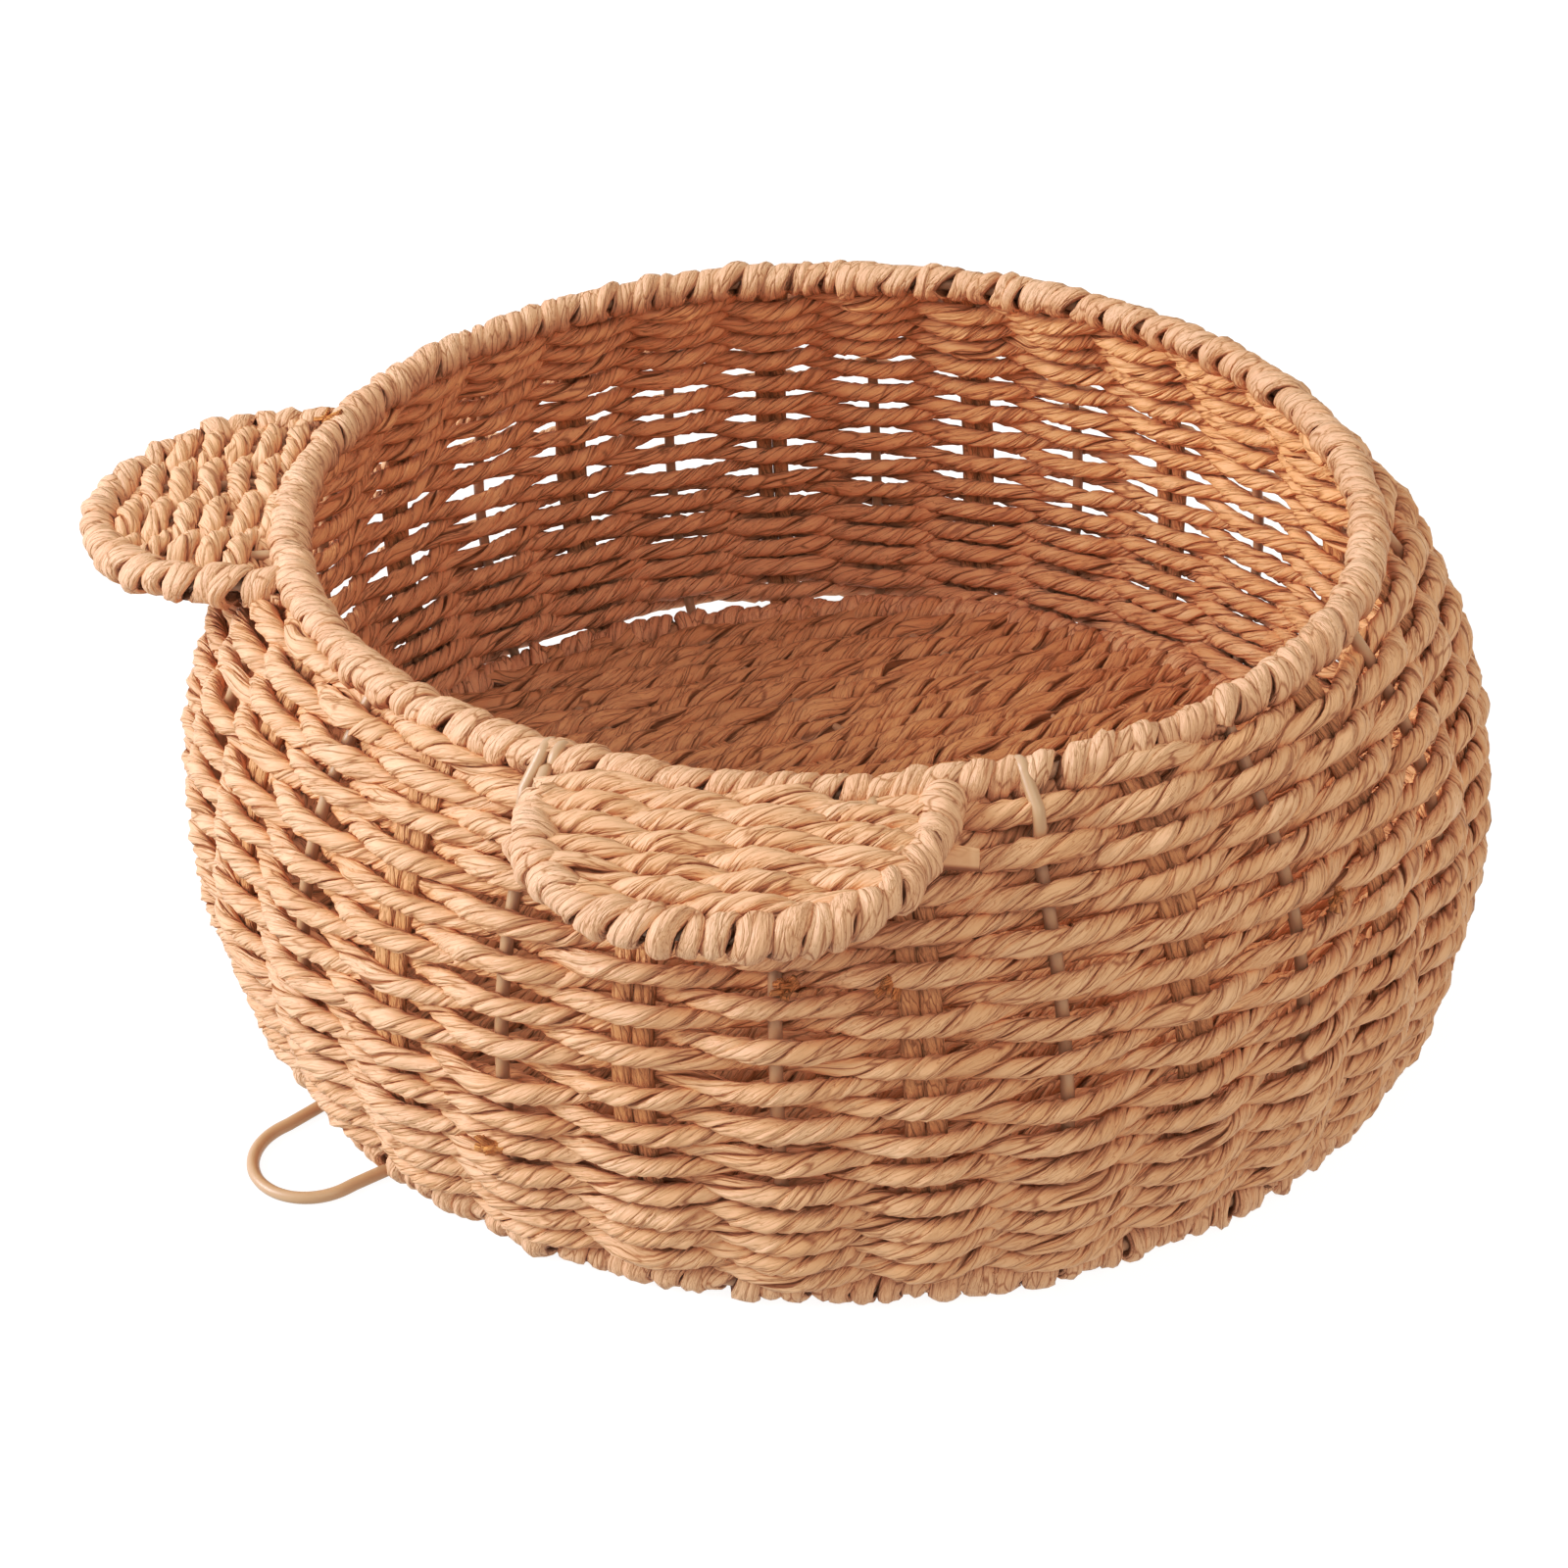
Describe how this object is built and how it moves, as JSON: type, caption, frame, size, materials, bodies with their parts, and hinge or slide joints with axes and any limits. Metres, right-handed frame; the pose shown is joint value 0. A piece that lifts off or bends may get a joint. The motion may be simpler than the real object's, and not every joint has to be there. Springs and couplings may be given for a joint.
{
  "type": "wall basket",
  "caption": "Round shallow wall basket of twisted paper rope woven on a welded wire frame, with bound rim, two round woven ears and a wire loop to hang it by.",
  "frame": {"origin": "middle of the base's underside", "axes": "+Z out of the mouth, away from the wall that the base hangs against; -Y towards the hanging loop, which is up on the wall; +X completes the frame"},
  "size_m": [0.3, 0.3163, 0.1142],
  "materials": {
    "rope": "matt two-ply twisted paper rope, peach tan",
    "binding": "matt flat paper, wound close, peach tan with fine creases",
    "cord": "matt thin paper cord in pairs, tan brown",
    "wire": "glossy khaki enamel on steel wire"
  },
  "bodies": {
    "root": {"rim_ring": "wire", "base_ring": "wire", "wire_stake_01": "wire", "wire_stake_02": "wire", "wire_stake_03": "wire", "wire_stake_04": "wire", "wire_stake_05": "wire", "wire_stake_06": "wire", "wire_stake_07": "wire", "wire_stake_08": "wire", "wire_stake_09": "wire", "wire_stake_10": "wire", "wire_stake_11": "wire", "wire_stake_12": "wire", "wire_stake_13": "wire", "wire_stake_14": "wire", "wire_stake_15": "wire", "wire_stake_16": "wire", "paper_stake_pair_01": "cord", "paper_stake_pair_02": "cord", "paper_stake_pair_03": "cord", "paper_stake_pair_04": "cord", "paper_stake_pair_05": "cord", "paper_stake_pair_06": "cord", "paper_stake_pair_07": "cord", "paper_stake_pair_08": "cord", "paper_stake_pair_09": "cord", "paper_stake_pair_10": "cord", "paper_stake_pair_11": "cord", "paper_stake_pair_12": "cord", "paper_stake_pair_13": "cord", "paper_stake_pair_14": "cord", "paper_stake_pair_15": "cord", "paper_stake_pair_16": "cord", "weaver_a": "rope", "weaver_b": "rope", "rim_binding": "binding", "ear_wire_left": "wire", "ear_rib_left_1": "wire", "ear_rib_left_2": "wire", "ear_rib_left_3": "wire", "ear_rib_left_4": "wire", "ear_weave_left": "rope", "ear_binding_left": "binding", "ear_wire_right": "wire", "ear_rib_right_1": "wire", "ear_rib_right_2": "wire", "ear_rib_right_3": "wire", "ear_rib_right_4": "wire", "ear_weave_right": "rope", "ear_binding_right": "binding", "base_wire_1": "wire", "base_wire_2": "wire", "base_wire_3": "wire", "base_wire_4": "wire", "base_wire_5": "wire", "base_weave": "rope", "base_binding": "binding", "hanging_loop": "wire"}
  },
  "joints": []
}
